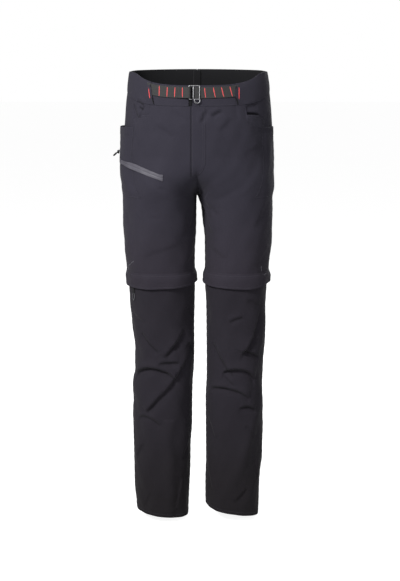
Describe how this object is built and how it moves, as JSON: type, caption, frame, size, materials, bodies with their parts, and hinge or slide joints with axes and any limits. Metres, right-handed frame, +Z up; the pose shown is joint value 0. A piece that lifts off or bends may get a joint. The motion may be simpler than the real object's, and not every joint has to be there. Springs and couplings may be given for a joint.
{
  "type": "hiking trousers",
  "caption": "Zip-off hiking trousers filled out as if worn, with a webbing belt on a wire hook buckle, scoop hand pockets, a slanted thigh zip and flaps over the knee zips.",
  "frame": {"origin": "middle of the waist at the height of the belt line", "axes": "+Z up, the front faces -Y, +X is the wearer's left"},
  "size_m": [0.3822, 0.2589, 1.0895],
  "materials": {
    "thigh_cloth": "matt stretch weave, dark navy",
    "lower_cloth": "matt light weave, near black",
    "webbing": "ribbed grey webbing with thin red bars",
    "hook_metal": "satin grey wire",
    "zip_tape": "smooth laminated grey",
    "zip": "black moulded plastic"
  },
  "bodies": {
    "trousers": {"front_panel_right": "thigh_cloth", "front_panel_left": "thigh_cloth", "back_panel_right": "thigh_cloth", "back_panel_left": "thigh_cloth", "pocket_facing_right": "thigh_cloth", "pocket_facing_left": "thigh_cloth", "side_pocket_right": "thigh_cloth", "side_pocket_left": "thigh_cloth", "knee_flap_right": "thigh_cloth", "knee_flap_left": "thigh_cloth", "knee_zip_right": "zip", "knee_zip_left": "zip", "lower_leg_front_right": "lower_cloth", "lower_leg_front_left": "lower_cloth", "lower_leg_back_right": "lower_cloth", "lower_leg_back_left": "lower_cloth", "waistband_right": "thigh_cloth", "waistband_left": "thigh_cloth", "waistband_front_right": "thigh_cloth", "waistband_front_left": "thigh_cloth", "fly_placket": "thigh_cloth", "belt_right": "webbing", "belt_left": "webbing", "buckle": "hook_metal", "thigh_zip_tape": "zip_tape", "thigh_zip_slider": "zip"},
    "thigh_pull": {"thigh_zip_pull": "zip"},
    "knee_pull": {"knee_zip_pull_right": "zip"}
  },
  "joints": [
    {"name": "thigh_pull_swing", "type": "hinge", "parent": "trousers", "child": "thigh_pull", "pos_m": [-0.18809, 0.01702, -0.16257], "axis": [-0.0131, 0.694, -0.7199], "range_deg": [-15, 125]},
    {"name": "knee_pull_swing", "type": "hinge", "parent": "trousers", "child": "knee_pull", "pos_m": [-0.15126, -0.06184, -0.47213], "axis": [-0.5454, 0.8378, 0.0239], "range_deg": [0, 15]}
  ]
}
